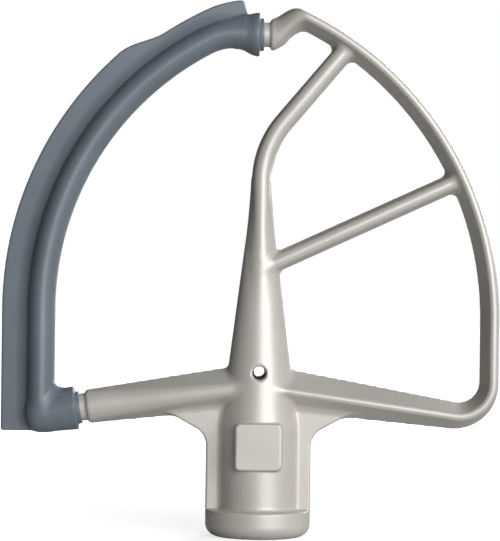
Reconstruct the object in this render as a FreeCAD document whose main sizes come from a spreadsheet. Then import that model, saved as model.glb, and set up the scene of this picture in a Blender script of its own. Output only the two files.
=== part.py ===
import FreeCAD, Part
import math
import os

import Sketcher
from FreeCAD import Placement, Rotation, Vector

doc = FreeCAD.newDocument("flat_beater")
sheet = doc.addObject("Spreadsheet::Sheet", "Sizes")

# Driving dimensions, in millimetres and degrees
driving = {
    # Hub: the collar at the mouth, the barrel above it and the cone that becomes the spine
    "collar_diameter": 33.5,
    "collar_height": 8.6,
    "collar_round": 4.0,
    "hub_diameter": 24.5,
    "barrel_height": 35.4,
    "spine_top_height": 106.5,
    "spine_top_diameter": 6.8,
    "hub_cove": 1.2,
    # Drive bore with its vent, and the track that hooks over the drive pin
    "bore_diameter": 13.0,
    "bore_depth": 52.4,
    "vent_diameter": 3.6,
    "vent_flare": 1.4,
    "track_width": 5.6,
    "track_diameter": 20.4,
    "track_top": 34.0,
    "track_floor": 28.6,
    "track_seat": 25.5,
    # Side ribs with gussets, and the square pad on the front of the barrel
    "rib_thickness": 6.0,
    "gusset_reach": 27.3,
    "gusset_height": 38.4,
    "gusset_angle": 29.2,
    "gusset_fillet": 6.0,
    "pad_width": 14.9,
    "pad_height": 14.9,
    "pad_level": 29.1,
    "pad_rise": 0.9,
    "pad_corner": 1.5,
    # The two arms, which slope down from the spine
    "arm_level": 48.25,
    "arm_angle": 7.8,
    "left_arm_root": 14.5,
    "left_arm_depth": 18.2,
    "left_arm_tip": 10.8,
    "arm_length": 55.6,
    "right_arm_level": 47.87,
    "right_arm_height": 14.4,
    "right_arm_depth": 17.8,
    # The right-hand rim: corner, straight, long arc and hook
    "rim_reach": 76.7,
    "rim_width": 6.2,
    "rim_ridge_shift": 1.0,
    "rim_depth": 17.0,
    "rim_radius": 109.0,
    "rim_spring": 69.6,
    "corner_radius": 10.4,
    "corner_width": 8.9,
    "hook_start": 13.5,
    "hook_end": 2.3,
    "hook_end_diameter": 9.6,
    # Bars inside the rim
    "bar_width": 6.4,
    "bar_depth": 12.4,
    "bar_bend_level": 113.3,
    "bar_bend_radius": 30.0,
    "bar_lean": 40.0,
    "crossbar_level": 85.3,
    "crossbar_angle": 24.9,
    "crossbar_width": 5.9,
    "crossbar_depth": 11.6,
    "ridge_land": 1.1,
    "ridge_chamfer": 0.75,
    # The left-hand limb that carries the flexible edge
    "neck_level": 160.5,
    "neck_diameter": 8.0,
    "neck_length": 8.0,
    "limb_reach": 70.0,
    "limb_radius": 97.3,
    "limb_spring": 72.3,
    "limb_elbow": 6.0,
    "limb_bend": 20.0,
    "core_width": 4.8,
    "core_depth": 7.8,
    # The flexible edge
    "sleeve_width": 8.8,
    "sleeve_depth": 12.8,
    "cuff_diameter": 13.7,
    "cuff_flare": 7.2,
    "elbow_diameter": 12.4,
    "elbow_round": 4.0,
    "lip_diameter": 10.4,
    "lip_length": 1.4,
    "lip_gap": 2.0,
    "blade_reach": 82.6,
    "blade_thickness": 2.0,
    "blade_step": 3.6,
    "blade_step_start": 46.0,
    "blade_step_radius": 18.0,
    "blade_foot": 32.8,
    "blade_end": 5.0,
    "blade_corner": 4.5,
}
for row, (name, value) in enumerate(driving.items(), start=1):
    sheet.set(f"A{row}", name.replace("_", " "))
    sheet.set(f"B{row}", str(value))
    sheet.setAlias(f"B{row}", name)
doc.recompute()


class Size:
    """A dimension: its number draws a shape, and its formula binds that shape to the sheet."""

    def __init__(self, number, formula):
        self.number = number
        self.formula = formula

    def __add__(self, other):
        return joined(self, "+", other)

    def __radd__(self, other):
        return joined(other, "+", self)

    def __sub__(self, other):
        return joined(self, "-", other)

    def __rsub__(self, other):
        return joined(other, "-", self)

    def __mul__(self, other):
        return joined(self, "*", other)

    def __rmul__(self, other):
        return joined(other, "*", self)

    def __truediv__(self, other):
        return joined(self, "/", other)

    def __neg__(self):
        return joined(0, "-", self)


def as_size(item):
    if isinstance(item, Size):
        return item
    return Size(float(item), str(float(item)))


def joined(first, sign, second):
    first = as_size(first)
    second = as_size(second)
    a = first.number
    b = second.number
    if sign == "+":
        number = a + b
    elif sign == "-":
        number = a - b
    elif sign == "*":
        number = a * b
    else:
        number = a / b
    return Size(number, f"({first.formula} {sign} {second.formula})")


def sine(angle):
    angle = as_size(angle)
    return Size(math.sin(math.radians(angle.number)), f"sin({angle.formula})")


def cosine(angle):
    angle = as_size(angle)
    return Size(math.cos(math.radians(angle.number)), f"cos({angle.formula})")


def arc_cosine(ratio):
    return Size(math.degrees(math.acos(ratio.number)), f"(acos({ratio.formula}) / 1 deg)")


def root(square):
    return Size(math.sqrt(square.number), f"sqrt({square.formula})")


def size(name):
    return Size(float(sheet.get(name)), f"Sizes.{name}")


def number(item):
    return as_size(item).number


def bind(item, path, value):
    item.setExpression(path, as_size(value).formula)


# Places that several features share
arm_level = size("arm_level")
arm_angle = size("arm_angle")
right_arm_level = size("right_arm_level")
neck_level = size("neck_level")
hook_end = size("hook_end")
rim_line = size("rim_reach") - size("rim_width") / 2
rim_arc = size("rim_radius") - size("rim_width") / 2
rim_centre = rim_line - rim_arc
rim_spring = size("rim_spring")
corner_radius = size("corner_radius")
corner_x = rim_line - corner_radius
corner_z = right_arm_level - corner_x * sine(arm_angle) / cosine(arm_angle) + corner_radius / cosine(arm_angle)
hook_start = size("hook_start")
hook_level = rim_spring + root(rim_arc * rim_arc - (hook_start - rim_centre) * (hook_start - rim_centre))
hook_turn = arc_cosine((hook_start - rim_centre) / rim_arc)
limb_line = -size("limb_reach")
limb_arc = size("limb_radius")
limb_centre = limb_line + limb_arc
limb_spring = size("limb_spring")
sleeve_start = size("lip_gap") + size("lip_length")


def origin_plane(body, role):
    return next(item for item in body.Origin.OriginFeatures if item.Role == role)


def new_sketch(body, name, role, shift=(0, 0, 0), turn=0, axis=Vector(0, 0, 1)):
    """A sketch on one of the body's own planes, shifted and turned in that plane's directions."""
    sketch = body.newObject("Sketcher::SketchObject", name)
    sketch.AttachmentSupport = [(origin_plane(body, role), "")]
    sketch.MapMode = "FlatFace"
    place = Vector(*[number(part) for part in shift])
    sketch.AttachmentOffset = Placement(place, Rotation(axis, number(turn)))
    for letter, part in zip("xyz", shift):
        if isinstance(part, Size):
            bind(sketch, f"AttachmentOffset.Base.{letter}", part)
    if isinstance(turn, Size):
        bind(sketch, "AttachmentOffset.Rotation.Angle", turn)
    return sketch


def add_line(sketch, start, end):
    points = [Vector(number(x), number(y), 0) for x, y in (start, end)]
    return sketch.addGeometry(Part.LineSegment(*points))


def add_arc(sketch, centre, radius, first, last, construction=False):
    """An arc, anticlockwise from the first to the last angle in degrees."""
    circle = Part.Circle(Vector(number(centre[0]), number(centre[1]), 0), Vector(0, 0, 1), number(radius))
    return sketch.addGeometry(Part.ArcOfCircle(circle, math.radians(first), math.radians(last)), construction)


def meet(sketch, first, second, kind="Coincident"):
    sketch.addConstraint(Sketcher.Constraint(kind, *first, *second))


def hold(sketch, kind, value, *place):
    """A driving dimension in a sketch, bound to the sheet."""
    index = sketch.addConstraint(Sketcher.Constraint(kind, *place, number(value)))
    bind(sketch, f"Constraints[{index}]", value)


def hold_point(sketch, place, point):
    hold(sketch, "DistanceX", point[0], *place)
    hold(sketch, "DistanceY", point[1], *place)


def hold_arc(sketch, arc, centre, radius):
    hold_point(sketch, (arc, 3), centre)
    hold(sketch, "Radius", radius, arc)


def draw_polygon(sketch, corners):
    """A closed outline with straight sides and sharp corners."""
    lines = [add_line(sketch, start, end) for start, end in zip(corners, corners[1:] + corners[:1])]
    for index, line in enumerate(lines):
        meet(sketch, (line, 2), (lines[(index + 1) % len(lines)], 1))
        hold_point(sketch, (line, 1), corners[index])


def bar_section(body, name, x, z, heading, half_width, half_depth, land, chamfer, ridge=as_size(0)):
    """A lozenge across a bar, sharp at the parting line, with a chamfered ridge on each face."""
    sketch = new_sketch(body, name, "XY_Plane", (x, 0, z), 90 - heading, Vector(0, 1, 0))
    shoulder = land / 2 + chamfer
    front = [
        (ridge + shoulder, half_depth - chamfer),
        (ridge + land / 2, half_depth),
        (ridge - land / 2, half_depth),
        (ridge - shoulder, half_depth - chamfer),
    ]
    back = [(x, -y) for x, y in reversed(front)]
    draw_polygon(sketch, [(half_width, 0)] + front + [(-half_width, 0)] + back)
    return sketch


def oval_section(body, name, x, z, heading, half_width, half_depth, sides):
    """An even-sided oval across a limb."""
    sketch = new_sketch(body, name, "XY_Plane", (x, 0, z), 90 - heading, Vector(0, 1, 0))
    turns = [2 * math.pi * step / sides for step in range(sides)]
    corners = [(round(math.cos(turn), 6), round(math.sin(turn), 6)) for turn in turns]
    draw_polygon(sketch, [(half_width * across, half_depth * deep) for across, deep in corners])
    return sketch


def turn(body, name, profile, axis):
    """A full turning about one of the profile's own axes."""
    feature = body.newObject("PartDesign::Revolution", name)
    feature.Profile = profile
    feature.ReferenceAxis = (profile, [axis])
    feature.Angle = 360
    return feature


def loft(body, name, sections):
    feature = body.newObject("PartDesign::AdditiveLoft", name)
    feature.Profile = sections[0]
    feature.Sections = sections[1:]
    feature.Ruled = True
    return feature


def sweep(body, name, sections, path):
    """Carry one section, or a change from one to the next, along a flat path."""
    feature = body.newObject("PartDesign::AdditivePipe", name)
    feature.Profile = sections[0]
    feature.Spine = path
    feature.Mode = "Standard"
    if len(sections) > 1:
        feature.Transformation = "Multisection"
        feature.Sections = sections[1:]
    return feature


def distance_to_rim(x, z, heading):
    """How far a bar that starts at x, z runs until it reaches the middle of the rim's arc."""
    along = (x - rim_centre) * cosine(heading) + (z - rim_spring) * sine(heading)
    square = (x - rim_centre) * (x - rim_centre) + (z - rim_spring) * (z - rim_spring)
    return root(along * along - square + rim_arc * rim_arc) - along


frame = doc.addObject("PartDesign::Body", "beater_frame")
frame.Label = "beater_frame"
land = size("ridge_land")
chamfer = size("ridge_chamfer")


def turn_hub():
    """Collar, barrel and cone in one turning. Two cones round off the collar's edge at the mouth."""
    collar = size("collar_diameter") / 2
    rounding = size("collar_round")
    barrel = size("hub_diameter") / 2
    cove = size("hub_cove")
    low = size("collar_height")
    profile = [
        (0, 0),
        (collar - rounding, 0),
        (collar - rounding * 0.29, rounding * 0.29),
        (collar, rounding),
        (collar, low),
        (barrel + cove, low),
        (barrel, low + cove),
        (barrel, size("barrel_height")),
        (size("spine_top_diameter") / 2, size("spine_top_height")),
        (0, size("spine_top_height")),
    ]
    sketch = new_sketch(frame, "hub_profile", "XZ_Plane")
    draw_polygon(sketch, profile)
    turn(frame, "hub", sketch, "V_Axis")


def cast_left_arm():
    """A sixteen-sided arm, deep where it leaves the hub, that tapers to the shoulder of the lower neck."""
    length = size("arm_length")
    tip = size("left_arm_tip") / 2
    sections = [
        oval_section(
            frame, "left_arm_start", 0, arm_level, arm_angle + 180,
            size("left_arm_root") / 2, size("left_arm_depth") / 2, 16,
        ),
        oval_section(
            frame, "left_arm_end", -length * cosine(arm_angle), arm_level - length * sine(arm_angle),
            arm_angle + 180, tip, tip, 16,
        ),
    ]
    loft(frame, "left_arm", sections)


def cast_right_arm_and_rim():
    """The ridged arm on the right, and the rim that carries on from it round the corner."""
    rim_half = size("rim_width") / 2
    rim_deep = size("rim_depth") / 2
    arm_root = bar_section(
        frame, "arm_root", 0, right_arm_level, as_size(0),
        size("right_arm_height") / 2, size("right_arm_depth") / 2, land * 1.6, chamfer * 1.6,
    )
    corner_start = bar_section(
        frame, "corner_start", corner_x - corner_radius * sine(arm_angle),
        corner_z - corner_radius * cosine(arm_angle), -arm_angle,
        size("corner_width") / 2, rim_deep, land, chamfer,
    )
    rim_start = bar_section(
        frame, "rim_start", rim_line, corner_z, as_size(90),
        rim_half, rim_deep, land, chamfer, size("rim_ridge_shift"),
    )
    loft(frame, "right_arm", [arm_root, corner_start])

    corner_path = new_sketch(frame, "corner_path", "XZ_Plane")
    bend = add_arc(corner_path, (corner_x, corner_z), corner_radius, -90 - number(arm_angle), 0)
    hold_arc(corner_path, bend, (corner_x, corner_z), corner_radius)
    hold(corner_path, "DistanceX", corner_x - corner_radius * sine(arm_angle), bend, 1)
    hold(corner_path, "DistanceY", corner_z, bend, 2)
    sweep(frame, "rim_corner", [corner_start, rim_start], corner_path)

    rim_path = new_sketch(frame, "rim_path", "XZ_Plane")
    straight = add_line(rim_path, (rim_line, corner_z), (rim_line, rim_spring))
    arc = add_arc(rim_path, (rim_centre, rim_spring), rim_arc, 0, number(hook_turn))
    meet(rim_path, (straight, 2), (arc, 1))
    hold_point(rim_path, (straight, 1), (rim_line, corner_z))
    hold_arc(rim_path, arc, (rim_centre, rim_spring), rim_arc)
    hold(rim_path, "DistanceY", rim_spring, straight, 2)
    hold(rim_path, "DistanceX", hook_start, arc, 2)
    sweep(frame, "rim", [rim_start], rim_path)


def cast_hook():
    """An S bend of two equal arcs that brings the end of the rim level with the neck."""
    turn = number(hook_turn)
    drop = number(hook_level - neck_level)
    run = number(hook_start - hook_end)
    level = math.cos(math.radians(turn))
    rise = 1 + math.sin(math.radians(turn))
    spread = 4 - level ** 2 - rise ** 2
    lean = run * level + drop * rise
    radius = (math.sqrt(lean ** 2 + spread * (run ** 2 + drop ** 2)) - lean) / spread
    dip = math.degrees(math.atan2(run - radius * level, radius * rise - drop))
    crest_x = number(hook_start) - radius * level
    crest_z = number(hook_level) - radius * (rise - 1)
    path = new_sketch(frame, "hook_path", "XZ_Plane")
    rim = add_arc(path, (rim_centre, rim_spring), rim_arc, 0, turn, construction=True)
    crest = add_arc(path, (crest_x, crest_z), radius, turn, 90 + dip)
    trough = add_arc(path, (hook_end, neck_level + radius), radius, 270, 270 + dip)
    meet(path, (rim, 2), (crest, 1), "Tangent")
    meet(path, (crest, 2), (trough, 2), "Tangent")
    path.addConstraint(Sketcher.Constraint("Equal", crest, trough))
    path.addConstraint(Sketcher.Constraint("Vertical", trough, 3, trough, 1))
    hold_arc(path, rim, (rim_centre, rim_spring), rim_arc)
    hold(path, "DistanceY", rim_spring, rim, 1)
    hold(path, "DistanceX", hook_start, rim, 2)
    hold_point(path, (trough, 1), (hook_end, neck_level))
    start = bar_section(
        frame, "hook_start_section", hook_start, hook_level, hook_turn + 90,
        size("rim_width") / 2, size("rim_depth") / 2, land, chamfer, size("rim_ridge_shift"),
    )
    half = size("hook_end_diameter") / 2
    end = bar_section(frame, "hook_end_section", hook_end, neck_level, as_size(180), half, half, half, half * 0.4)
    sweep(frame, "hook", [start, end], path)


def cast_bars():
    """The spine's upper end, which leans over to the rim, and the crossbar."""
    lean = size("bar_lean")
    radius = size("bar_bend_radius")
    level = size("bar_bend_level")
    half = size("bar_width") / 2
    deep = size("bar_depth") / 2
    bend_x = radius - radius * cosine(lean)
    bend_z = level + radius * sine(lean)
    reach = distance_to_rim(bend_x, bend_z, 90 - lean)
    path = new_sketch(frame, "bar_path", "XZ_Plane")
    rise = add_line(path, (0, arm_level), (0, level))
    bend = add_arc(path, (radius, level), radius, 180 - number(lean), 180)
    run = add_line(path, (bend_x, bend_z), (bend_x + reach * sine(lean), bend_z + reach * cosine(lean)))
    meet(path, (rise, 2), (bend, 2), "Tangent")
    meet(path, (bend, 1), (run, 1), "Tangent")
    hold_point(path, (rise, 1), (0, arm_level))
    hold_point(path, (rise, 2), (0, level))
    hold(path, "Radius", radius, bend)
    hold(path, "DistanceX", bend_x, run, 1)
    hold(path, "Distance", reach, run)
    section = bar_section(frame, "bar_section", 0, arm_level, as_size(90), half, deep, land, chamfer)
    sweep(frame, "upper_bar", [section], path)

    heading = size("crossbar_angle")
    start = bar_section(
        frame, "crossbar_section", 0, size("crossbar_level"), heading,
        size("crossbar_width") / 2, size("crossbar_depth") / 2, land, chamfer,
    )
    crossbar = frame.newObject("PartDesign::Pad", "crossbar")
    crossbar.Profile = start
    bind(crossbar, "Length", distance_to_rim(as_size(0), size("crossbar_level"), heading))


def limb_path(body, name, margin, with_elbow):
    """The middle of the left-hand limb, from the arm or the top of the elbow over the top to the hook."""
    radius = size("limb_bend")
    elbow = size("limb_elbow")
    start = size("arm_length") + margin
    start_x = -start * cosine(arm_angle)
    start_z = arm_level - start * sine(arm_angle)
    elbow_x = limb_line + elbow
    elbow_z = arm_level + elbow_x * sine(arm_angle) / cosine(arm_angle) + elbow / cosine(arm_angle)
    bend_z = number(neck_level - radius)
    inner = number(limb_arc - radius)
    bend_x = number(limb_centre) - math.sqrt(inner ** 2 - (bend_z - number(limb_spring)) ** 2)
    slope = math.degrees(math.atan2(bend_z - number(limb_spring), bend_x - number(limb_centre)))
    path = new_sketch(body, name, "XZ_Plane")
    straight = add_line(path, (limb_line, elbow_z), (limb_line, limb_spring))
    arc = add_arc(path, (limb_centre, limb_spring), limb_arc, slope, 180)
    bend = add_arc(path, (bend_x, bend_z), radius, 90, slope)
    level = add_line(path, (bend_x, neck_level), (hook_end - margin, neck_level))
    meet(path, (straight, 2), (arc, 2))
    meet(path, (arc, 1), (bend, 2), "Tangent")
    meet(path, (bend, 1), (level, 1), "Tangent")
    path.addConstraint(Sketcher.Constraint("Vertical", straight))
    path.addConstraint(Sketcher.Constraint("Horizontal", level))
    hold(path, "DistanceY", limb_spring, straight, 2)
    hold_arc(path, arc, (limb_centre, limb_spring), limb_arc)
    hold(path, "Radius", radius, bend)
    hold_point(path, (level, 2), (hook_end - margin, neck_level))
    if not with_elbow:
        hold(path, "DistanceY", elbow_z, straight, 1)
        return path, limb_line, elbow_z
    foot = (elbow_x + elbow * sine(arm_angle), elbow_z - elbow * cosine(arm_angle))
    arm = add_line(path, (start_x, start_z), foot)
    corner = add_arc(path, (elbow_x, elbow_z), elbow, 180, 270 + number(arm_angle))
    meet(path, (arm, 2), (corner, 2), "Tangent")
    meet(path, (corner, 1), (straight, 1), "Tangent")
    hold_point(path, (arm, 1), (start_x, start_z))
    hold(path, "Radius", elbow, corner)
    hold(path, "DistanceY", elbow_z, corner, 3)
    return path, start_x, start_z


def add_circle(sketch, diameter):
    circle = sketch.addGeometry(Part.Circle(Vector(0, 0, 0), Vector(0, 0, 1), number(diameter) / 2))
    meet(sketch, (circle, 3), (-1, 1))
    hold(sketch, "Diameter", diameter, circle)


def cast_limb():
    """The slim limb inside the flexible edge, with a round neck at each end."""
    path, start_x, start_z = limb_path(frame, "core_path", as_size(0), True)
    half = size("core_width") / 2
    deep = size("core_depth") / 2
    section = new_sketch(frame, "core_section", "XY_Plane", (start_x, 0, start_z), -90 - arm_angle, Vector(0, 1, 0))
    draw_polygon(section, [(-half, -deep), (half, -deep), (half, deep), (-half, deep)])
    sweep(frame, "core", [section], path)
    ends = {
        "lower_neck": (start_x, start_z, arm_angle + 180),
        "upper_neck": (hook_end, neck_level, as_size(180)),
    }
    for name, (x, z, heading) in ends.items():
        sketch = new_sketch(frame, f"{name}_circle", "XY_Plane", (x, 0, z), 90 - heading, Vector(0, 1, 0))
        add_circle(sketch, size("neck_diameter"))
        neck = frame.newObject("PartDesign::Pad", name)
        neck.Profile = sketch
        bind(neck, "Length", size("neck_length"))


def cast_ribs():
    """One flat web across the hub: a rib down each side, with a gusset under each arm."""
    reach = size("collar_diameter") / 2
    low = size("collar_height")
    slope = sine(size("gusset_angle")) / cosine(size("gusset_angle"))
    fall = sine(arm_angle) / cosine(arm_angle)
    fillet = size("gusset_fillet")
    lean = size("gusset_angle")
    gusset_x = size("gusset_reach")
    gusset_z = size("gusset_height")
    top_x = (arm_level - gusset_z + gusset_x * slope) / (slope + fall)
    top_z = arm_level - top_x * fall
    turn_x = reach + fillet
    turn_z = gusset_z + (turn_x - gusset_x) * slope - fillet / cosine(lean)
    sketch = new_sketch(frame, "web_outline", "XZ_Plane")
    base = add_line(sketch, (-reach, low), (reach, low))
    ends = {1: (base, 2), -1: (base, 1)}
    crown = []
    for side in (1, -1):
        rib = add_line(sketch, (side * reach, low), (side * reach, turn_z))
        first = 90 + number(lean) if side > 0 else 0
        last = 180 if side > 0 else 90 - number(lean)
        bend = add_arc(sketch, (side * turn_x, turn_z), fillet, first, last)
        gusset_start = (side * (turn_x - fillet * sine(lean)), turn_z + fillet * cosine(lean))
        gusset = add_line(sketch, gusset_start, (side * top_x, top_z))
        crest = add_line(sketch, (side * top_x, top_z), (0, arm_level))
        meet(sketch, ends[side], (rib, 1))
        meet(sketch, (rib, 2), (bend, 2 if side > 0 else 1), "Tangent")
        meet(sketch, (bend, 1 if side > 0 else 2), (gusset, 1), "Tangent")
        meet(sketch, (gusset, 2), (crest, 1))
        hold_point(sketch, (rib, 1), (side * reach, low))
        sketch.addConstraint(Sketcher.Constraint("Vertical", rib))
        hold(sketch, "Radius", fillet, bend)
        hold(sketch, "DistanceY", turn_z, bend, 3)
        hold_point(sketch, (crest, 1), (side * top_x, top_z))
        crown.append(crest)
    meet(sketch, (crown[0], 2), (crown[1], 2))
    hold_point(sketch, (crown[0], 2), (0, arm_level))
    web = frame.newObject("PartDesign::Pad", "web")
    web.Profile = sketch
    web.SideType = "Symmetric"
    bind(web, "Length", size("rib_thickness"))


def cast_pad():
    """The raised square pad, flat on the front of the round barrel."""
    wide = size("pad_width") / 2
    low = size("pad_level") - size("pad_height") / 2
    high = size("pad_level") + size("pad_height") / 2
    corner = size("pad_corner")
    barrel = size("hub_diameter") / 2
    sketch = new_sketch(frame, "pad_outline", "XZ_Plane", (0, 0, barrel + size("pad_rise")))
    turns = [
        (wide - corner, low + corner, -90),
        (wide - corner, high - corner, 0),
        (corner - wide, high - corner, 90),
        (corner - wide, low + corner, 180),
    ]
    arcs = [add_arc(sketch, (x, z), corner, angle, angle + 90) for x, z, angle in turns]
    for index, arc in enumerate(arcs):
        other = arcs[(index + 1) % 4]
        end = sketch.Geometry[arc].EndPoint
        start = sketch.Geometry[other].StartPoint
        side = add_line(sketch, (end.x, end.y), (start.x, start.y))
        meet(sketch, (arc, 2), (side, 1), "Tangent")
        meet(sketch, (side, 2), (other, 1), "Tangent")
        hold_arc(sketch, arc, turns[index][:2], corner)
    pad = frame.newObject("PartDesign::Pad", "pad")
    pad.Profile = sketch
    pad.Reversed = True
    bind(pad, "Length", barrel / 2)


def cut(name, kind, sketch, **settings):
    """A cut that has to take metal away."""
    doc.recompute()
    before = frame.Shape.Volume
    feature = frame.newObject(f"PartDesign::{kind}", name)
    feature.Profile = sketch
    for key, value in settings.items():
        if isinstance(value, Size):
            bind(feature, key, value)
        else:
            setattr(feature, key, value)
    doc.recompute()
    if not frame.Shape.Volume < before:
        raise ValueError(f"{name} cuts nothing")
    return feature


def machine_bore():
    """The drive bore and the track: in along a slot, round a quarter turn and back onto a seat."""
    reach = size("track_diameter") / 2
    half = size("track_width") / 2
    top = size("track_top")
    floor = size("track_floor")
    seat = size("track_seat")
    bore = new_sketch(frame, "bore_circle", "XY_Plane")
    add_circle(bore, size("bore_diameter"))
    cut("bore", "Pocket", bore, Length=size("bore_depth"), Reversed=True)
    slot = new_sketch(frame, "slot_outline", "XY_Plane")
    draw_polygon(slot, [(0, -half), (reach, -half), (reach, half), (0, half)])
    cut("slot", "Pocket", slot, Length=top, Reversed=True)
    turn = new_sketch(frame, "turn_profile", "XZ_Plane")
    draw_polygon(turn, [(0, floor), (reach, floor), (reach, top), (0, top)])
    cut("turn", "Groove", turn, ReferenceAxis=(turn, ["V_Axis"]), Angle=90, Reversed=True)
    rest = new_sketch(frame, "seat_outline", "XY_Plane", (0, 0, seat))
    draw_polygon(rest, [(-half, -reach), (half, -reach), (half, 0), (-half, 0)])
    cut("seat", "Pocket", rest, Length=top - seat, Reversed=True)
    vent = new_sketch(frame, "vent_circle", "XZ_Plane", (0, size("bore_depth"), 0))
    add_circle(vent, size("vent_diameter"))
    cut("vent", "Pocket", vent, Type="ThroughAll", SideType="Symmetric")
    flare = size("vent_flare")
    narrow = size("vent_diameter") / 2
    taper = (size("hub_diameter") - size("spine_top_diameter")) / 2
    run = (size("bore_depth") - size("barrel_height")) / (size("spine_top_height") - size("barrel_height"))
    face = size("hub_diameter") / 2 - taper * run
    mouth = new_sketch(frame, "flare_profile", "XY_Plane", (0, 0, size("bore_depth")))
    draw_polygon(mouth, [(0, -face), (narrow + flare, -face), (narrow, flare - face), (0, flare - face)])
    cut("flare", "Groove", mouth, ReferenceAxis=(mouth, ["V_Axis"]), Angle=360)


moulding = doc.addObject("PartDesign::Body", "edge_moulding")


def mould_sleeve():
    """The oval sleeve, twelve-sided, from inside the elbow to the end of the upper cuff."""
    path, start_x, start_z = limb_path(moulding, "sleeve_path", sleeve_start, False)
    section = oval_section(
        moulding, "sleeve_section", start_x, start_z, as_size(90),
        size("sleeve_width") / 2, size("sleeve_depth") / 2, 12,
    )
    sweep(moulding, "sleeve", [section], path)


def mould_cuff(name, x, z, heading, far_end):
    """A cuff turned about its neck: a slim lip, a flat step and a cone that runs into the sleeve."""
    near = size("lip_gap")
    lip = size("lip_diameter") / 2
    profile = [
        (near, 0),
        (near, lip),
        (sleeve_start, lip),
        (sleeve_start, size("cuff_diameter") / 2),
    ]
    sketch = new_sketch(moulding, f"{name}_profile", "XZ_Plane", (x, z, 0), heading)
    draw_polygon(sketch, profile + far_end)
    turn(moulding, name, sketch, "H_Axis")


def mould_cuffs():
    """The lower cuff ends rounded off, outside the elbow. The upper one fades out inside the sleeve."""
    length = size("arm_length")
    half = size("sleeve_width") / 2
    elbow = size("elbow_diameter") / 2
    rounding = size("elbow_round")
    far = (size("limb_reach") + half) / cosine(arm_angle) - length
    mould_cuff(
        "lower_cuff", -length * cosine(arm_angle), arm_level - length * sine(arm_angle), arm_angle + 180,
        [
            (far - rounding, elbow),
            (far - rounding * 0.29, elbow - rounding * 0.29),
            (far, elbow - rounding),
            (far, 0),
        ],
    )
    far = sleeve_start + size("cuff_flare")
    mould_cuff("upper_cuff", hook_end, neck_level, as_size(180), [(far, half), (far, 0)])


def mould_blade():
    """The wiping blade: it follows the bowl, then steps in towards the top with two equal arcs."""
    reach = size("blade_reach")
    low = size("blade_foot")
    end = size("blade_end")
    curl = size("blade_step_radius")
    step_start = size("blade_step_start")
    outer = reach + limb_centre
    inner = outer - size("blade_step")
    centre = Vector(number(limb_centre), number(limb_spring), 0)
    near = number(outer - curl)
    far = number(inner + curl)
    swing = math.degrees(math.acos((near ** 2 + far ** 2 - 4 * number(curl) ** 2) / (2 * near * far)))
    first = math.degrees(math.acos(-number(step_start + limb_centre) / number(outer)))
    second = first - swing
    crest_at = centre + near * Vector(math.cos(math.radians(first)), math.sin(math.radians(first)), 0)
    trough_at = centre + far * Vector(math.cos(math.radians(second)), math.sin(math.radians(second)), 0)
    across = trough_at - crest_at
    lean = math.degrees(math.atan2(across.y, across.x))
    corner = size("blade_corner")
    last = math.degrees(math.acos(-number(end + corner + limb_centre) / number(inner - corner)))
    corner_at = centre + number(inner - corner) * Vector(math.cos(math.radians(last)), math.sin(math.radians(last)), 0)
    rise = number(neck_level - limb_spring)
    meeting = 180 - math.degrees(math.asin(rise / number(limb_arc)))
    middle = (limb_centre, limb_spring)
    sketch = new_sketch(moulding, "blade_outline", "XZ_Plane")
    foot = add_line(sketch, (limb_line, low), (-reach, low))
    side = add_line(sketch, (-reach, low), (-reach, limb_spring))
    lower = add_arc(sketch, middle, outer, first, 180)
    crest = add_arc(sketch, (crest_at.x, crest_at.y), curl, lean, first)
    trough = add_arc(sketch, (trough_at.x, trough_at.y), curl, 180 + lean, 180 + second)
    upper = add_arc(sketch, middle, inner, last, second)
    nose = add_arc(sketch, (corner_at.x, corner_at.y), corner, 0, last)
    tip = add_line(sketch, (-end, corner_at.y), (-end, neck_level))
    join_x = number(limb_centre) + number(limb_arc) * math.cos(math.radians(meeting))
    level = add_line(sketch, (-end, neck_level), (join_x, neck_level))
    spine = add_arc(sketch, middle, limb_arc, meeting, 180)
    back = add_line(sketch, (limb_line, limb_spring), (limb_line, low))
    meet(sketch, (foot, 2), (side, 1))
    meet(sketch, (side, 2), (lower, 2))
    meet(sketch, (lower, 1), (crest, 2), "Tangent")
    meet(sketch, (crest, 1), (trough, 1), "Tangent")
    meet(sketch, (trough, 2), (upper, 2), "Tangent")
    meet(sketch, (upper, 1), (nose, 2), "Tangent")
    meet(sketch, (nose, 1), (tip, 1), "Tangent")
    meet(sketch, (tip, 2), (level, 1))
    meet(sketch, (level, 2), (spine, 1))
    meet(sketch, (spine, 2), (back, 1))
    meet(sketch, (back, 2), (foot, 1))
    hold_point(sketch, (foot, 1), (limb_line, low))
    hold_point(sketch, (foot, 2), (-reach, low))
    hold_arc(sketch, lower, middle, outer)
    hold(sketch, "DistanceY", limb_spring, side, 2)
    hold(sketch, "DistanceX", -step_start, lower, 1)
    hold(sketch, "Radius", curl, crest)
    hold(sketch, "Radius", curl, trough)
    hold_arc(sketch, upper, middle, inner)
    hold(sketch, "Radius", corner, nose)
    sketch.addConstraint(Sketcher.Constraint("Vertical", tip))
    hold_point(sketch, (tip, 2), (-end, neck_level))
    hold_arc(sketch, spine, middle, limb_arc)
    hold(sketch, "DistanceY", neck_level, spine, 1)
    hold(sketch, "DistanceY", limb_spring, spine, 2)
    blade = moulding.newObject("PartDesign::Pad", "blade")
    blade.Profile = sketch
    blade.SideType = "Symmetric"
    bind(blade, "Length", size("blade_thickness"))


turn_hub()
cast_left_arm()
cast_right_arm_and_rim()
cast_hook()
cast_bars()
cast_limb()
cast_ribs()
cast_pad()
machine_bore()
mould_sleeve()
mould_cuffs()
mould_blade()

# The edge is moulded round the limb, so the limb's own shape makes its hollow
edge_piece = doc.addObject("Part::Cut", "flex_edge")
edge_piece.Label = "flex_edge"
edge_piece.Base = moulding
edge_piece.Tool = frame
doc.recompute()

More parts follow.
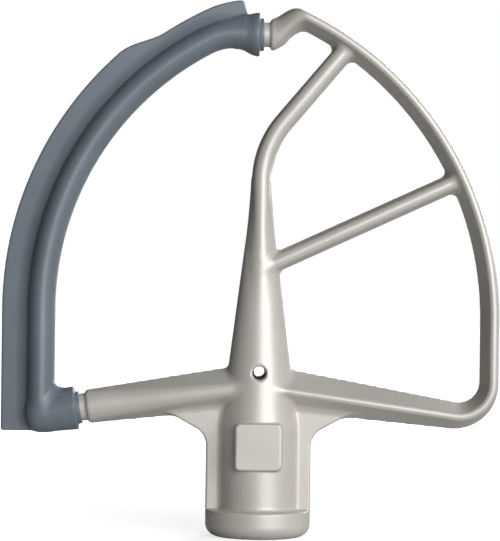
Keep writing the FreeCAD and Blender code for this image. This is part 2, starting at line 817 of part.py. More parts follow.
pieces = [frame, edge_piece]
for item in doc.Objects:
    if "Invalid" in item.State or "Error" in item.State:
        raise ValueError(f"{item.Name} failed: {item.State}")
for piece in pieces:
    shape = piece.Shape
    if shape.isNull() or not shape.isValid() or len(shape.Solids) != 1:
        raise ValueError(f"{piece.Label} is not one sound solid")
    print(piece.Label, shape.ShapeType, shape.Volume, shape.BoundBox)

os.makedirs("parts", exist_ok=True)
for piece in pieces:
    piece.Shape.exportStep(f"parts/{piece.Label}.step")
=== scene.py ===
import math

import bpy
import numpy as np
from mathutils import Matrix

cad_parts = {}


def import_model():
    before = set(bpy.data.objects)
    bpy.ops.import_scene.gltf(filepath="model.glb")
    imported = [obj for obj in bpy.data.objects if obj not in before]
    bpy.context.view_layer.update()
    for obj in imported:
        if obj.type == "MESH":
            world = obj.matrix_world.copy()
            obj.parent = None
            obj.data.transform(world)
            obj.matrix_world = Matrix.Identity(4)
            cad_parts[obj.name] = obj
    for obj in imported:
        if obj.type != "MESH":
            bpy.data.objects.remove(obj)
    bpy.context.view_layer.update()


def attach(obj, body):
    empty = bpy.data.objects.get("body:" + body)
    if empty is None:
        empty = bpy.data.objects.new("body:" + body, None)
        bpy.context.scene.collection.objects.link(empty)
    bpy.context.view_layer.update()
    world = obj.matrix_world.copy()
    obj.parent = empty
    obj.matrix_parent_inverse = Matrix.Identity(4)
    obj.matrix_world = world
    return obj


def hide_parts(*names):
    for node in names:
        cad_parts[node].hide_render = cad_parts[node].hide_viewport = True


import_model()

import openvdb as vdb
from mathutils import Vector

MM = 0.001

# Sizes are in millimetres. A fillet is the hollow round where two bodies meet, an edge the round on a corner.

# Hub, ribs and pad
COLLAR_RADIUS = 16.75
COLLAR_TOP = 8.6
COLLAR_ROUND = 4.0
COLLAR_EDGE = 0.8
COLLAR_FILLET = 1.2
BARREL_RADIUS = 12.25
BARREL_FOOT = 3.0
BARREL_TOP = 35.4
SPINE_TOP = 106.5
SPINE_TOP_RADIUS = 3.4
SPINE_END = SPINE_TOP + 7
SPINE_END_RADIUS = 0.5
SPINE_FILLET = 1.6
RIB_HALF = 3.0
RIB_FOOT = COLLAR_TOP - 2
RIB_EDGE = 0.7
RIB_FILLET = 1.3
GUSSET_X = 27.3
GUSSET_Z = 38.4
GUSSET_LEAN = math.radians(29.2)
GUSSET_FILLET = 3.0
PAD_HALF_WIDTH = 7.45
PAD_HALF_HEIGHT = 7.45
PAD_LEVEL = 29.1
PAD_FACE = 13.15
PAD_BACK = 5.0
PAD_CORNER = 1.6
PAD_EDGE = 0.55
PAD_FILLET = 0.5

# Drive bore, track and vent
BORE_RADIUS = 6.5
BORE_DEPTH = 52.4
BORE_START = -1.0
BORE_EDGE = 0.4
TRACK_HALF = 2.8
TRACK_RADIUS = 10.2
TRACK_FLOOR = 28.6
TRACK_TOP = 34.0
TRACK_SEAT = 25.5
VENT_RADIUS = 1.9
VENT_DRAFT = 0.026
VENT_EDGE = 0.9

# Arms, rim, hook and bars. The left arm's ends give half the height, half the depth and the ridge's round.
ARM_LEVEL = 48.25
ARM_LEAN = math.radians(7.8)
ARM_FALL = math.tan(ARM_LEAN)
ARM_LENGTH = 55.6
ARM_FILLET = 1.2
LEFT_ROOT = (7.25, 9.1, 2.2)
LEFT_TIP = (5.4, 5.4, 5.4)
SHOULDER_EDGE = 1.0
RIGHT_LEVEL = 47.87
RIGHT_ROOT_HALF = 7.2
RIGHT_ROOT_DEEP = 8.9
RIM_HALF = 3.1
RIM_DEEP = 8.5
RIM_LINE = 76.7 - RIM_HALF
RIM_ARC = 109.0 - RIM_HALF
RIM_SPRING = 69.6
RIM_CENTRE = (RIM_LINE - RIM_ARC, RIM_SPRING)
RIM_FILLET = 2.2
CORNER_RADIUS = 10.4
CORNER_HALF = 4.45
HOOK_START = 14.3
HOOK_FOOT = 2.5
HOOK_END = 2.3
HOOK_END_RADIUS = 4.8
HOOK_EDGE = 1.0
BAR_HALF = 3.2
BAR_DEEP = 6.2
BAR_BEND_LEVEL = 113.3
BAR_BEND_RADIUS = 30.0
BAR_LEAN = math.radians(40.0)
CROSSBAR_LEVEL = 85.3
CROSSBAR_RISE = math.radians(24.9)
CROSSBAR_HALF = 3.1
CROSSBAR_DEEP = 5.8
CROSSBAR_FILLET = 2.0
RIDGE_ROUND = 1.4
BAR_RIDGE = 2.6
CROSSBAR_RIDGE = 2.1
RIDGE_SHIFT = 0.7

# Necks and limb
NECK_LEVEL = 160.5
NECK_SINK = 2.0
NECK_LENGTH = 6.0
NECK_FILLET = 0.5
NECK_HOLLOW = 5.0
NECK_HOLLOW_EDGE = 0.2
LOWER_NECK = (4.35, 4.35, 4.35)
UPPER_NECK = (3.9, 3.9, 3.9)
LIMB_LINE = -70.0
LIMB_ARC = 97.3
LIMB_SPRING = 72.3
LIMB_CENTRE = (LIMB_LINE + LIMB_ARC, LIMB_SPRING)
LIMB_BEND = 20.0

# Sleeve, cuffs and elbow. The crown makes the upper cuff fuller on top. Both fade out inside the sleeve.
SLEEVE_HALF = 4.4
SLEEVE_DEEP = 6.4
SLEEVE_SHORT = 2.0
LIP_GAP = 2.0
LIP_END = 3.4
LIP_SINK = 1.5
LIP_RADIUS = 5.2
LIP_EDGE = 0.35
LIP_BACK_EDGE = 0.1
LIP_FILLET = 0.2
CUFF_RADIUS = 6.95
CUFF_BAND = 0.6
CUFF_FLARE = 7.0
CUFF_STEPS = 24
CUFF_FADE = (LIP_END + CUFF_BAND + CUFF_FLARE + 3, 3.0)
CUFF_EDGE = 0.3
CUFF_FILLET = 1.0
CROWN_RAISE = 1.2
CROWN = [(LIP_END + 0.2, 5.45), (LIP_END + 5, 5.2), (LIP_END + 14, 3.0)]
CROWN_FILLET = 0.6
ELBOW_RADIUS = 6.2
ELBOW_ROUND = 3.8
ELBOW_OUTER_FILLET = 0.3
ELBOW_INNER_FILLET = 4.0
ELBOW_FADE = 0.6

# Blade
BLADE_REACH = 82.6
BLADE_HALF = 1.0
BLADE_EDGE = 0.45
BLADE_FILLET = 0.4
ROOT_LENGTH = 3.6
ROOT_THICK = 0.9
BLADE_STEP = 3.6
BLADE_STEP_X = -46.0
BLADE_STEP_LENGTH = 15.7
BLADE_FOOT = 32.8
BLADE_FOOT_ROUND = 0.7
BLADE_TOP = 172.0
BLADE_NOSE_ROUND = 3.0
BLADE_END = -4.9
BLADE_END_LEVEL = 166.0
BLADE_END_LEAN = 0.27
BLADE_END_ROUND = 1.3
BLADE_BACK_X = -20.0
BLADE_BACK_LEVEL = NECK_LEVEL - 1

# Meshing: the box and the step of each skin, how many steps of distance are kept on each side of the surface,
# the step that finds the way a surface faces, the most that a point is moved to reach the surface, and the
# least that anything is divided by
BEATER_BOX = (-64, -18, -1.5), (78.5, 18, 171)
BEATER_STEP = 0.6
EDGE_BOX = (-84, -8.5, 30.5), (2.5, 8.5, 174)
EDGE_STEP = 0.5
KEPT_STEPS = 3
NORMAL_STEP = 0.04
MOST_MOVE = 0.15
TINY = 1e-6

# Finishes and stage, in metres. A glow changes from its first strength to its second over a span: of distance
# on the floor, and of direction in the room.
GRAIN_HEIGHT = 0.0002
FLOOR_HALF = 3.0
FLOOR_SPAN = (0.05, 0.4)
FLOOR_GLOW = (0.72, 1.05)
SIDE_SPAN = (-0.3, 0.9)
SIDE_GLOW = (0.03, 0.46)
SCREEN_SPAN = (0.93, 0.98)
SCREEN_GLOW = (0.0, 0.6)
LAMP_TARGET = (0, 0, 0.085)
CAMERA_PLACE = (-0.00336, -0.78, 0.0849)
CAMERA_ROLL = -0.0125
SENSOR_WIDTH = 36
PICTURE_PIXELS = 500
PIXEL_SIZE = 0.3205 * MM


class Space:
    """Places in millimetres at which distances to the surface are worked out: a box of them, or a list."""

    def __init__(self, x, y, z):
        self.x = x
        self.y = y
        self.z = z
        self.deep = np.abs(y)

    def spread(self, flat):
        """A value that depends on x and z alone, ready to be combined with y."""
        flat = np.asarray(flat, dtype=np.float32)
        return flat[:, None, :] if flat.ndim == 2 else flat


def between(first, last, share):
    """The value at a share of the way from the first to the last."""
    return first + (last - first) * share


def eased(share):
    """A share from 0 to 1 that starts and ends gently."""
    return share * share * (3 - 2 * share)


def line(space, start, end):
    """Distance to a straight run in the x-z plane, and how far along it the nearest point is."""
    dx = end[0] - start[0]
    dz = end[1] - start[1]
    along = ((space.x - start[0]) * dx + (space.z - start[1]) * dz) / (dx * dx + dz * dz)
    along = np.clip(along, 0, 1)
    return np.hypot(space.x - start[0] - along * dx, space.z - start[1] - along * dz), along


def arc(space, centre, radius, first, last):
    """Distance to an arc in the x-z plane, and the share along it, anticlockwise from first to last."""
    middle = (first + last) / 2
    half = (last - first) / 2
    angle = np.arctan2(space.z - centre[1], space.x - centre[0]) - middle
    angle = np.clip((angle + math.pi) % (2 * math.pi) - math.pi, -half, half)
    nearest_x = centre[0] + radius * np.cos(angle + middle)
    nearest_z = centre[1] + radius * np.sin(angle + middle)
    return np.hypot(space.x - nearest_x, space.z - nearest_z), (angle + half) / (2 * half)


def join(a, b, radius):
    """Two bodies with a concave fillet where they meet."""
    corner = np.hypot(np.maximum(radius - a, 0), np.maximum(radius - b, 0))
    return np.maximum(np.minimum(a, b), radius) - corner


def common(a, b, radius):
    """What two bodies share, with a convex round where they cross."""
    corner = np.hypot(np.maximum(a + radius, 0), np.maximum(b + radius, 0))
    return np.minimum(np.maximum(a, b), -radius) + corner


def cut(a, b, radius):
    """The first body without the second, with a round on the edge between them."""
    return common(a, -b, radius)


def flank(half, level, ridge):
    """The way a flank faces that runs from the parting line, at a width, to the ridge's round, at a level."""
    square = half * half + level * level
    run = np.sqrt(np.maximum(square - ridge * ridge, 0))
    return (ridge * half + run * level) / square, (run * half - ridge * level) / square


def bar(space, across, half, deep, shift=0.0, ridge=RIDGE_ROUND):
    """A cast bar: two flat flanks on each face lean up to a round ridge, from the edge at the parting line."""
    across, half, deep, shift, ridge = (space.spread(part) for part in (across, half, deep, shift, ridge))
    level = deep - ridge
    outer_x, outer_y = flank(half - shift, level, ridge)
    inner_x, inner_y = flank(half + shift, level, ridge)
    outer = outer_x * (across - half) + outer_y * space.deep
    inner = inner_y * space.deep - inner_x * (across + half)
    right = across - shift
    front = space.deep - level
    on_ridge = (outer_x * front - outer_y * right > 0) & (inner_x * front + inner_y * right > 0)
    return np.where(on_ridge, np.hypot(right, front) - ridge, np.maximum(inner, outer))


def rod(space, start, end, first, last):
    """A bar between two points: half its height, half its depth and its ridge's round change along it."""
    distance, along = line(space, start, end)
    half, deep, ridge = (between(a, b, along) for a, b in zip(first, last))
    return bar(space, distance, half, deep, ridge=ridge)


def turned(space, start, heading, profile, near_edge, far_edge):
    """A turning about an axis in the x-z plane, through (length, radius) pairs, with a round at each end."""
    dx = math.cos(heading)
    dz = math.sin(heading)
    along = (space.x - start[0]) * dx + (space.z - start[1]) * dz
    across = -(space.x - start[0]) * dz + (space.z - start[1]) * dx
    lengths, radii = zip(*profile)
    radius = np.interp(along, lengths, radii).astype(np.float32)
    side = np.hypot(space.spread(across), space.y) - space.spread(radius)
    near = common(side, space.spread(lengths[0] - along), near_edge)
    return np.maximum(near, common(side, space.spread(along - lengths[-1]), far_edge))


def arm_point(length):
    """A point on the left arm's axis, at a distance from the hub's axis."""
    return (-length * math.cos(ARM_LEAN), ARM_LEVEL - length * math.sin(ARM_LEAN))


def rim_run(x, z, heading):
    """How far a bar runs from x, z to the middle of the rim's arc, less half the rim's width."""
    dx = x - RIM_CENTRE[0]
    dz = z - RIM_CENTRE[1]
    along = dx * math.cos(heading) + dz * math.sin(heading)
    return math.sqrt(along ** 2 - dx ** 2 - dz ** 2 + RIM_ARC ** 2) - along - RIM_HALF


def shaft_body(space):
    """The barrel and the cone above it, which runs on inside the upper bar until it is gone."""
    across = np.hypot(space.spread(space.x), space.y)
    z = space.spread(space.z)
    taper = (BARREL_RADIUS - SPINE_TOP_RADIUS) / (SPINE_TOP - BARREL_TOP)
    radius = BARREL_RADIUS - taper * np.maximum(z - BARREL_TOP, 0)
    return np.maximum(across - np.maximum(radius, SPINE_END_RADIUS), np.maximum(-z, z - SPINE_END))


def collar_body(space):
    """The collar at the hub's foot, well rounded below."""
    across = np.hypot(space.spread(space.x), space.y) - COLLAR_RADIUS
    z = space.spread(space.z)
    return np.maximum(common(across, -z, COLLAR_ROUND), common(across, z - COLLAR_TOP, COLLAR_EDGE))


def web_body(space):
    """The flat ribs down both sides of the hub, with a gusset under each arm."""
    side = np.abs(space.x)
    gusset = (GUSSET_Z + (side - GUSSET_X) * math.tan(GUSSET_LEAN) - space.z) * math.cos(GUSSET_LEAN)
    outline = join(side - COLLAR_RADIUS, gusset, GUSSET_FILLET)
    top = (space.z - ARM_LEVEL + side * ARM_FALL) * math.cos(ARM_LEAN)
    outline = np.maximum(outline, np.maximum(top, RIB_FOOT - space.z))
    return common(space.spread(outline), space.deep - RIB_HALF, RIB_EDGE)


def pad_body(space):
    """The raised pad on the front of the barrel."""
    wide = np.abs(space.x) - PAD_HALF_WIDTH
    high = np.abs(space.z - PAD_LEVEL) - PAD_HALF_HEIGHT
    outline = common(wide, high, PAD_CORNER)
    thick = np.maximum(-PAD_FACE - space.y, space.y + PAD_BACK)
    return common(space.spread(outline), thick, PAD_EDGE)


def rim_body(space):
    """The right arm, and the rim that carries on from it: a corner, a straight run, an arc and the hook."""
    corner_x = RIM_LINE - CORNER_RADIUS
    corner_z = RIGHT_LEVEL - corner_x * ARM_FALL + CORNER_RADIUS / math.cos(ARM_LEAN)
    start_x = corner_x - CORNER_RADIUS * math.sin(ARM_LEAN)
    start_z = corner_z - CORNER_RADIUS * math.cos(ARM_LEAN)
    distance, along = line(space, (0, RIGHT_LEVEL), (start_x, start_z))
    half = between(RIGHT_ROOT_HALF, CORNER_HALF, along)
    arm = bar(space, distance, half, between(RIGHT_ROOT_DEEP, RIM_DEEP, along))
    distance, along = arc(space, (corner_x, corner_z), CORNER_RADIUS, -math.pi / 2 - ARM_LEAN, 0)
    outside = np.hypot(space.x - corner_x, space.z - corner_z) > CORNER_RADIUS
    upright = space.x - RIM_LINE
    radial = np.hypot(space.x - RIM_CENTRE[0], space.z - RIM_SPRING) - RIM_ARC
    above = space.z > corner_z
    across = np.where(space.z > RIM_SPRING, radial, upright)
    across = np.where(above, across, np.where(outside, distance, -distance))
    along = np.where(above, 1, along)
    rim = bar(space, across, between(CORNER_HALF, RIM_HALF, along), RIM_DEEP, RIDGE_SHIFT * along)
    return arm, np.where(space.spread(space.x) < HOOK_START, hook_body(space, radial), rim)


def hook_body(space, radial):
    """The rim's end, brought down level with the neck in an S while its section turns round."""
    down = eased(np.clip((HOOK_START - space.x) / (HOOK_START - HOOK_FOOT), 0, 1))
    off = space.x - RIM_CENTRE[0]
    high = np.sqrt(np.maximum(RIM_ARC ** 2 - off ** 2, 0))
    middle = between(high, NECK_LEVEL - RIM_SPRING, down)
    across = radial - np.hypot(off, middle) + RIM_ARC
    half = between(RIM_HALF, HOOK_END_RADIUS, down * (2 - down))
    deep = between(RIM_DEEP, HOOK_END_RADIUS, down)
    ridge = between(RIDGE_ROUND, HOOK_END_RADIUS, down)
    bend = bar(space, across, half, deep, RIDGE_SHIFT * (1 - down), ridge)
    return common(bend, space.spread(HOOK_END - space.x), HOOK_EDGE)


def bars_body(space):
    """The bar that leans over from the spine to the rim, and the crossbar."""
    bend_x = BAR_BEND_RADIUS * (1 - math.cos(BAR_LEAN))
    bend_z = BAR_BEND_LEVEL + BAR_BEND_RADIUS * math.sin(BAR_LEAN)
    reach = rim_run(bend_x, bend_z, math.pi / 2 - BAR_LEAN)
    tip = (bend_x + reach * math.sin(BAR_LEAN), bend_z + reach * math.cos(BAR_LEAN))
    rise = line(space, (0, ARM_LEVEL), (0, BAR_BEND_LEVEL))[0]
    bend = arc(space, (BAR_BEND_RADIUS, BAR_BEND_LEVEL), BAR_BEND_RADIUS, math.pi - BAR_LEAN, math.pi)[0]
    run = line(space, (bend_x, bend_z), tip)[0]
    distance = np.minimum(np.minimum(rise, bend), run)
    upper = bar(space, distance, BAR_HALF, BAR_DEEP, ridge=BAR_RIDGE)
    reach = rim_run(0, CROSSBAR_LEVEL, CROSSBAR_RISE)
    end = (reach * math.cos(CROSSBAR_RISE), CROSSBAR_LEVEL + reach * math.sin(CROSSBAR_RISE))
    distance = line(space, (0, CROSSBAR_LEVEL), end)[0]
    crossbar = bar(space, distance, CROSSBAR_HALF, CROSSBAR_DEEP, ridge=CROSSBAR_RIDGE)
    return upper, crossbar


def bore_body(space):
    """The space that the drive shaft and its pin take: bore, entry slot, quarter turn and seat."""
    z = space.spread(space.z)
    x = space.spread(space.x)
    across = np.hypot(x, space.y)
    bore = np.maximum(across - BORE_RADIUS, np.maximum(z - BORE_DEPTH, BORE_START - z))
    slot = np.maximum(np.abs(space.y) - TRACK_HALF, np.maximum(-x, x - TRACK_RADIUS))
    slot = np.maximum(slot, np.maximum(z - TRACK_TOP, BORE_START - z))
    turn = np.maximum(across - TRACK_RADIUS, np.maximum(-x, space.y))
    turn = np.maximum(turn, np.maximum(TRACK_FLOOR - z, z - TRACK_TOP))
    seat = np.maximum(np.abs(x) - TRACK_HALF, np.maximum(space.y, -TRACK_RADIUS - space.y))
    seat = np.maximum(seat, np.maximum(TRACK_SEAT - z, z - TRACK_TOP))
    return np.minimum(np.minimum(bore, slot), np.minimum(turn, seat))


def necks_body(space, length):
    """The two round necks, on from the arm's shoulder and from the hook's end."""
    ends = arm_point(ARM_LENGTH - NECK_SINK), arm_point(ARM_LENGTH + length)
    lower = rod(space, *ends, LOWER_NECK, LOWER_NECK)
    ends = (HOOK_END + NECK_SINK, NECK_LEVEL), (HOOK_END - length, NECK_LEVEL)
    return np.minimum(lower, rod(space, *ends, UPPER_NECK, UPPER_NECK))


def past_arm(space):
    """How far a point is past the left arm's shoulder, along the arm."""
    x, z = arm_point(ARM_LENGTH)
    return space.spread((x - space.x) * math.cos(ARM_LEAN) + (z - space.z) * math.sin(ARM_LEAN))


def casting(space):
    """The metal frame."""
    shaft = shaft_body(space)
    arm, rim = rim_body(space)
    upper, crossbar = bars_body(space)
    left = rod(space, (0, ARM_LEVEL), arm_point(ARM_LENGTH), LEFT_ROOT, LEFT_TIP)
    left = common(left, past_arm(space), SHOULDER_EDGE)
    solid = join(shaft, web_body(space), RIB_FILLET)
    solid = join(solid, left, ARM_FILLET)
    solid = join(solid, pad_body(space), PAD_FILLET)
    # The barrel starts above the foot here, because a fillet swells two faces that lie in one plane
    barrel = np.maximum(shaft, BARREL_FOOT - space.spread(space.z))
    solid = np.minimum(solid, join(barrel, collar_body(space), COLLAR_FILLET))
    spine = join(upper, crossbar, CROSSBAR_FILLET)
    spine = join(spine, np.minimum(rim, arm), RIM_FILLET)
    solid = join(solid, spine, SPINE_FILLET)
    solid = join(solid, necks_body(space, NECK_LENGTH), NECK_FILLET)
    solid = cut(solid, bore_body(space), BORE_EDGE)
    vent = space.spread(np.hypot(space.x, space.z - BORE_DEPTH)) - VENT_RADIUS + VENT_DRAFT * space.y
    return cut(solid, vent, VENT_EDGE)


def sleeve_path(space):
    """Distance to the middle of the sleeve: up from the elbow, over the long arc, then level to the hook."""
    bend_z = NECK_LEVEL - LIMB_BEND
    inner = LIMB_ARC - LIMB_BEND
    bend_x = LIMB_CENTRE[0] - math.sqrt(inner ** 2 - (bend_z - LIMB_SPRING) ** 2)
    turn = math.atan2(bend_z - LIMB_SPRING, bend_x - LIMB_CENTRE[0])
    foot = ARM_LEVEL + LIMB_LINE * ARM_FALL
    runs = [
        line(space, (LIMB_LINE, foot), (LIMB_LINE, LIMB_SPRING))[0],
        arc(space, LIMB_CENTRE, LIMB_ARC, turn, math.pi)[0],
        arc(space, (bend_x, bend_z), LIMB_BEND, math.pi / 2, turn)[0],
        line(space, (bend_x, NECK_LEVEL), (HOOK_END - LIP_END - SLEEVE_SHORT, NECK_LEVEL))[0],
    ]
    return np.minimum.reduce(runs)


def oval(space, distance):
    """About how far a point is from the sleeve's oval skin."""
    across = space.spread(distance)
    first = np.hypot(across / SLEEVE_HALF, space.y / SLEEVE_DEEP)
    second = np.hypot(across / SLEEVE_HALF ** 2, space.y / SLEEVE_DEEP ** 2)
    return first * (first - 1) / np.maximum(second, TINY)


def blade_body(space, path):
    """The thin wiping blade: it follows the bowl, steps in towards the top and thickens at the sleeve."""
    x = space.x
    z = space.z
    angle = np.arctan2(np.maximum(z - LIMB_SPRING, 0), x - LIMB_CENTRE[0])
    radial = np.where(z < LIMB_SPRING, LIMB_CENTRE[0] - x, np.hypot(x - LIMB_CENTRE[0], z - LIMB_SPRING))
    outer = BLADE_REACH + LIMB_CENTRE[0]
    begin = math.acos((BLADE_STEP_X - LIMB_CENTRE[0]) / outer)
    reach = outer - BLADE_STEP * eased(np.clip((begin - angle) * outer / BLADE_STEP_LENGTH, 0, 1))
    edge = common(radial - reach, z - BLADE_TOP, BLADE_NOSE_ROUND)
    end = x - BLADE_END + BLADE_END_LEAN * np.maximum(z - BLADE_END_LEVEL, 0)
    edge = common(edge, end, BLADE_END_ROUND)
    edge = common(edge, BLADE_FOOT - z, BLADE_FOOT_ROUND)
    back = np.minimum(LIMB_ARC - radial, np.maximum(BLADE_BACK_LEVEL - z, BLADE_BACK_X - x))
    root = np.clip(1 - (path - SLEEVE_HALF) / ROOT_LENGTH, 0, 1)
    thick = space.deep - space.spread(BLADE_HALF + ROOT_THICK * root * root)
    return common(space.spread(np.maximum(edge, back)), thick, BLADE_EDGE)


def moulding(space):
    """The flexible edge: a sleeve with an elbow, two cuffs and their lips, and the blade, round the necks."""
    lean = ARM_LEAN + math.pi
    shoulder = arm_point(ARM_LENGTH)
    far = (SLEEVE_HALF - LIMB_LINE) / math.cos(ARM_LEAN) - ARM_LENGTH
    cuff = [(LIP_END, CUFF_RADIUS), (far, ELBOW_RADIUS)]
    lower = turned(space, shoulder, lean, cuff, CUFF_EDGE, ELBOW_ROUND)
    hook = (HOOK_END, NECK_LEVEL)
    share = np.linspace(0, 1, CUFF_STEPS)
    bell = zip(LIP_END + CUFF_BAND + CUFF_FLARE * share, between(CUFF_RADIUS, SLEEVE_HALF, eased(share)))
    cuff = [(LIP_END, CUFF_RADIUS), *bell, CUFF_FADE]
    upper = turned(space, hook, math.pi, cuff, CUFF_EDGE, CUFF_EDGE)
    crown = turned(space, (HOOK_END, NECK_LEVEL + CROWN_RAISE), math.pi, CROWN, CUFF_EDGE, CUFF_EDGE)
    upper = join(upper, crown, CROWN_FILLET)
    lip = [(LIP_GAP, LIP_RADIUS), (LIP_END + LIP_SINK, LIP_RADIUS)]
    lower_lip = turned(space, shoulder, lean, lip, LIP_EDGE, LIP_BACK_EDGE)
    upper_lip = turned(space, hook, math.pi, lip, LIP_EDGE, LIP_BACK_EDGE)
    path = sleeve_path(space)
    inside = eased(np.clip((space.x - LIMB_LINE) / SLEEVE_HALF / 2 + 0.5, 0, 1))
    near = 1 - ELBOW_FADE * np.minimum(space.deep / SLEEVE_DEEP, 1) ** 2
    fillet = between(ELBOW_OUTER_FILLET, ELBOW_INNER_FILLET, space.spread(inside) * near)
    solid = join(oval(space, path), lower, fillet)
    solid = join(solid, upper, CUFF_FILLET)
    solid = join(solid, blade_body(space, path), BLADE_FILLET)
    solid = join(solid, np.minimum(lower_lip, upper_lip), LIP_FILLET)
    return cut(solid, necks_body(space, NECK_HOLLOW), NECK_HOLLOW_EDGE)


def slopes(shape, points):
    """How far each point is from the surface, and the way the distance grows there."""
    away = shape(Space(*points.T))
    normals = np.empty_like(points)
    for axis in range(3):
        reach = np.zeros(3, dtype=np.float32)
        reach[axis] = NORMAL_STEP
        normals[:, axis] = shape(Space(*(points + reach).T)) - shape(Space(*(points - reach).T))
    normals /= np.maximum(np.linalg.norm(normals, axis=1, keepdims=True), TINY)
    return away, normals


def skin(name, shape, low, high, step):
    """The surface where the distance is nothing, as a smooth mesh in metres."""
    x, y, z = (
        a + step * np.arange(math.ceil((b - a) / step) + 1, dtype=np.float32) for a, b in zip(low, high)
    )
    field = shape(Space(x[:, None], y[None, :, None], z[None, :])).astype(np.float32)
    kept = KEPT_STEPS * step
    grid = vdb.FloatGrid(background=kept)
    grid.copyFromArray(np.clip(field, -kept, kept))
    points, quads = grid.convertToQuads(isovalue=0.0)
    corner = points[quads]
    spans = np.cross(corner[:, 2] - corner[:, 0], corner[:, 3] - corner[:, 1])
    if np.einsum("ij,ij->", corner[:, 0], spans) < 0:
        quads = quads[:, ::-1]
    points = np.array(low, dtype=np.float32) + step * points.astype(np.float32)
    away, normals = slopes(shape, points)
    points -= np.clip(away, -MOST_MOVE, MOST_MOVE)[:, None] * normals
    normals = slopes(shape, points)[1]
    points *= MM
    mesh = bpy.data.meshes.new(name)
    mesh.vertices.add(len(points))
    mesh.vertices.foreach_set("co", points.astype(np.float32).ravel())
    mesh.loops.add(4 * len(quads))
    mesh.loops.foreach_set("vertex_index", quads.astype(np.int32).ravel())
    mesh.polygons.add(len(quads))
    mesh.polygons.foreach_set("loop_start", np.arange(0, 4 * len(quads), 4, dtype=np.int32))
    mesh.polygons.foreach_set("use_smooth", np.ones(len(quads), dtype=bool))
    mesh.update(calc_edges=True)
    mesh.validate()
    mesh.normals_split_custom_set_from_vertices(normals.tolist())
    piece = bpy.data.objects.new(name, mesh)
    bpy.context.collection.objects.link(piece)
    print(name, len(points), "points", 2 * len(quads), "triangles")
    return piece


def material(name):
    item = bpy.data.materials.new(name)
    item.use_nodes = True
    return item, item.node_tree.nodes, item.node_tree.links


def noise(nodes, links, scale, detail, roughness=0.5):
    """A noise that is fixed to the piece."""
    place = nodes.new("ShaderNodeTexCoord")
    texture = nodes.new("ShaderNodeTexNoise")
    texture.inputs["Scale"].default_value = scale
    texture.inputs["Detail"].default_value = detail
    texture.inputs["Roughness"].default_value = roughness
    links.new(place.outputs["Object"], texture.inputs["Vector"])
    return texture.outputs["Fac"]


def graded(nodes, links, source, ends, values):
    """A number that goes from one value to another as the source goes from end to end."""
    node = nodes.new("ShaderNodeMapRange")
    node.inputs["From Min"].default_value = ends[0]
    node.inputs["From Max"].default_value = ends[1]
    node.inputs["To Min"].default_value = values[0]
    node.inputs["To Max"].default_value = values[1]
    links.new(source, node.inputs["Value"])
    return node.outputs["Result"]


def toned(nodes, links, source, ends, colours):
    """A colour that goes from one to another as the source goes from end to end."""
    node = nodes.new("ShaderNodeValToRGB")
    for element, end, colour in zip(node.color_ramp.elements, ends, colours):
        element.position = end
        element.color = (*colour, 1)
    links.new(source, node.inputs["Fac"])
    return node.outputs["Color"]


def grained(nodes, links, source, strength):
    """The way the surface faces once the source raises it a little."""
    node = nodes.new("ShaderNodeBump")
    node.inputs["Strength"].default_value = strength
    node.inputs["Distance"].default_value = GRAIN_HEIGHT
    links.new(source, node.inputs["Height"])
    return node.outputs["Normal"]


def coating():
    """Silver powder coat on a casting: a fine grain that sparkles a little, over a soft uneven tone."""
    item, nodes, links = material("silver_coating")
    shader = nodes["Principled BSDF"]
    shader.inputs["Metallic"].default_value = 0.25
    shader.inputs["Specular IOR Level"].default_value = 0.5
    grain = noise(nodes, links, scale=2600, detail=3, roughness=0.6)
    cloud = noise(nodes, links, scale=90, detail=3)
    mix = nodes.new("ShaderNodeMix")
    mix.inputs["Factor"].default_value = 0.35
    links.new(grain, mix.inputs["A"])
    links.new(cloud, mix.inputs["B"])
    silver = (0.52, 0.50, 0.465), (0.62, 0.60, 0.56)
    links.new(toned(nodes, links, mix.outputs["Result"], (0.3, 0.72), silver), shader.inputs["Base Color"])
    links.new(graded(nodes, links, grain, (0.3, 0.7), (0.38, 0.50)), shader.inputs["Roughness"])
    links.new(grained(nodes, links, grain, 0.05), shader.inputs["Normal"])
    return item


def rubber():
    """Blue-grey moulded elastomer: matt, with a fine spark-eroded grain."""
    item, nodes, links = material("blue_grey_elastomer")
    shader = nodes["Principled BSDF"]
    shader.inputs["Specular IOR Level"].default_value = 0.6
    grain = noise(nodes, links, scale=3200, detail=2)
    cloud = noise(nodes, links, scale=60, detail=4)
    blue = (0.126, 0.150, 0.180), (0.149, 0.176, 0.210)
    links.new(toned(nodes, links, cloud, (0.3, 0.7), blue), shader.inputs["Base Color"])
    links.new(graded(nodes, links, grain, (0, 1), (0.36, 0.48)), shader.inputs["Roughness"])
    links.new(grained(nodes, links, grain, 0.06), shader.inputs["Normal"])
    return item


def seen_directly(nodes, links):
    """One for rays that reach the background straight from the camera or through glass."""
    path = nodes.new("ShaderNodeLightPath")
    share = nodes.new("ShaderNodeMath")
    share.operation = "MAXIMUM"
    links.new(path.outputs["Is Camera Ray"], share.inputs[0])
    links.new(path.outputs["Is Transmission Ray"], share.inputs[1])
    return share.outputs["Value"]


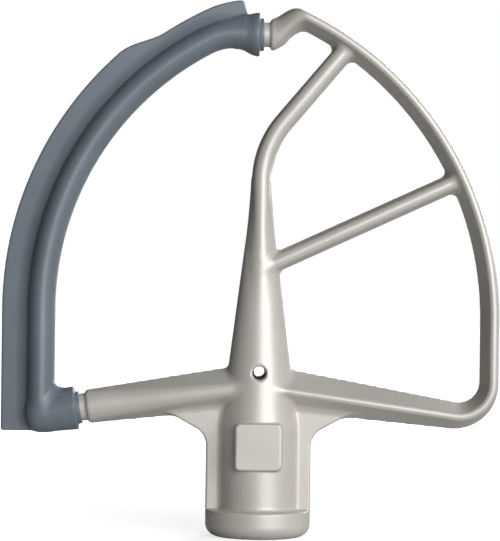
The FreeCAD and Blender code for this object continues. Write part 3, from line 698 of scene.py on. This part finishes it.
def floor():
    """A floor that looks white, and takes a faint shadow near the object."""
    mesh = bpy.data.meshes.new("floor")
    corners = [(-1, -1), (1, -1), (1, 1), (-1, 1)]
    mesh.from_pydata([(FLOOR_HALF * x, FLOOR_HALF * y, 0) for x, y in corners], [], [(0, 1, 2, 3)])
    plane = bpy.data.objects.new("floor", mesh)
    bpy.context.collection.objects.link(plane)
    item, nodes, links = material("pale_floor")
    shader = nodes["Principled BSDF"]
    shader.inputs["Base Color"].default_value = (0.5, 0.5, 0.5, 1)
    shader.inputs["Roughness"].default_value = 0.9
    shader.inputs["Specular IOR Level"].default_value = 0.0
    shader.inputs["Emission Color"].default_value = (1, 1, 1, 1)
    place = nodes.new("ShaderNodeTexCoord")
    away = nodes.new("ShaderNodeVectorMath")
    away.operation = "LENGTH"
    links.new(place.outputs["Object"], away.inputs["Vector"])
    gain = nodes.new("ShaderNodeMath")
    gain.operation = "MULTIPLY"
    links.new(seen_directly(nodes, links), gain.inputs[0])
    links.new(graded(nodes, links, away.outputs["Value"], FLOOR_SPAN, FLOOR_GLOW), gain.inputs[1])
    links.new(gain.outputs["Value"], shader.inputs["Emission Strength"])
    mesh.materials.append(item)


def world():
    """A studio: white to the camera, dim on the left, brighter on the right, a pale screen in reflections."""
    item = bpy.data.worlds.new("room")
    bpy.context.scene.world = item
    item.use_nodes = True
    nodes = item.node_tree.nodes
    links = item.node_tree.links
    back = nodes["Background"]
    back.inputs["Color"].default_value = (1, 1, 1, 1)
    place = nodes.new("ShaderNodeTexCoord")
    split = nodes.new("ShaderNodeSeparateXYZ")
    links.new(place.outputs["Generated"], split.inputs["Vector"])
    path = nodes.new("ShaderNodeLightPath")
    screen = nodes.new("ShaderNodeMath")
    screen.operation = "MULTIPLY_ADD"
    links.new(graded(nodes, links, split.outputs["Y"], SCREEN_SPAN, SCREEN_GLOW), screen.inputs[0])
    links.new(path.outputs["Is Glossy Ray"], screen.inputs[1])
    links.new(graded(nodes, links, split.outputs["X"], SIDE_SPAN, SIDE_GLOW), screen.inputs[2])
    level = nodes.new("ShaderNodeMix")
    level.inputs["B"].default_value = 1.0
    links.new(seen_directly(nodes, links), level.inputs["Factor"])
    links.new(screen.outputs["Value"], level.inputs["A"])
    links.new(level.outputs["Result"], back.inputs["Strength"])


def lamp(name, place, size, power):
    """A square lamp that faces the middle of the object."""
    data = bpy.data.lights.new(name, "AREA")
    data.shape = "RECTANGLE"
    data.size = size
    data.size_y = size
    data.energy = power
    item = bpy.data.objects.new(name, data)
    item.location = place
    item.rotation_euler = (Vector(LAMP_TARGET) - Vector(place)).to_track_quat("-Z", "Y").to_euler()
    bpy.context.collection.objects.link(item)


def camera():
    """Straight on, turned a little about its own axis, and as wide at the object as the picture."""
    data = bpy.data.cameras.new("camera")
    data.sensor_fit = "HORIZONTAL"
    data.sensor_width = SENSOR_WIDTH
    data.lens = SENSOR_WIDTH * -CAMERA_PLACE[1] / (PICTURE_PIXELS * PIXEL_SIZE)
    item = bpy.data.objects.new("camera", data)
    item.location = CAMERA_PLACE
    item.rotation_euler = (math.pi / 2, CAMERA_ROLL, 0)
    bpy.context.collection.objects.link(item)
    bpy.context.scene.camera = item


beater = skin("beater_skin", casting, *BEATER_BOX, BEATER_STEP)
edge = skin("edge_skin", moulding, *EDGE_BOX, EDGE_STEP)
for piece, node, finish, slot in (
    (beater, "beater_frame", coating(), "cast_metal"),
    (edge, "flex_edge", rubber(), "elastomer"),
):
    piece.data.materials.append(finish)
    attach(piece, "root")
    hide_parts(node)

floor()
world()
lamp("key", place=(0.46, -0.90, 0.22), size=0.8, power=13.6)
lamp("fill", place=(0.30, 0.92, 0.35), size=0.4, power=6.0)
camera()
bpy.context.scene.view_settings.view_transform = "Standard"
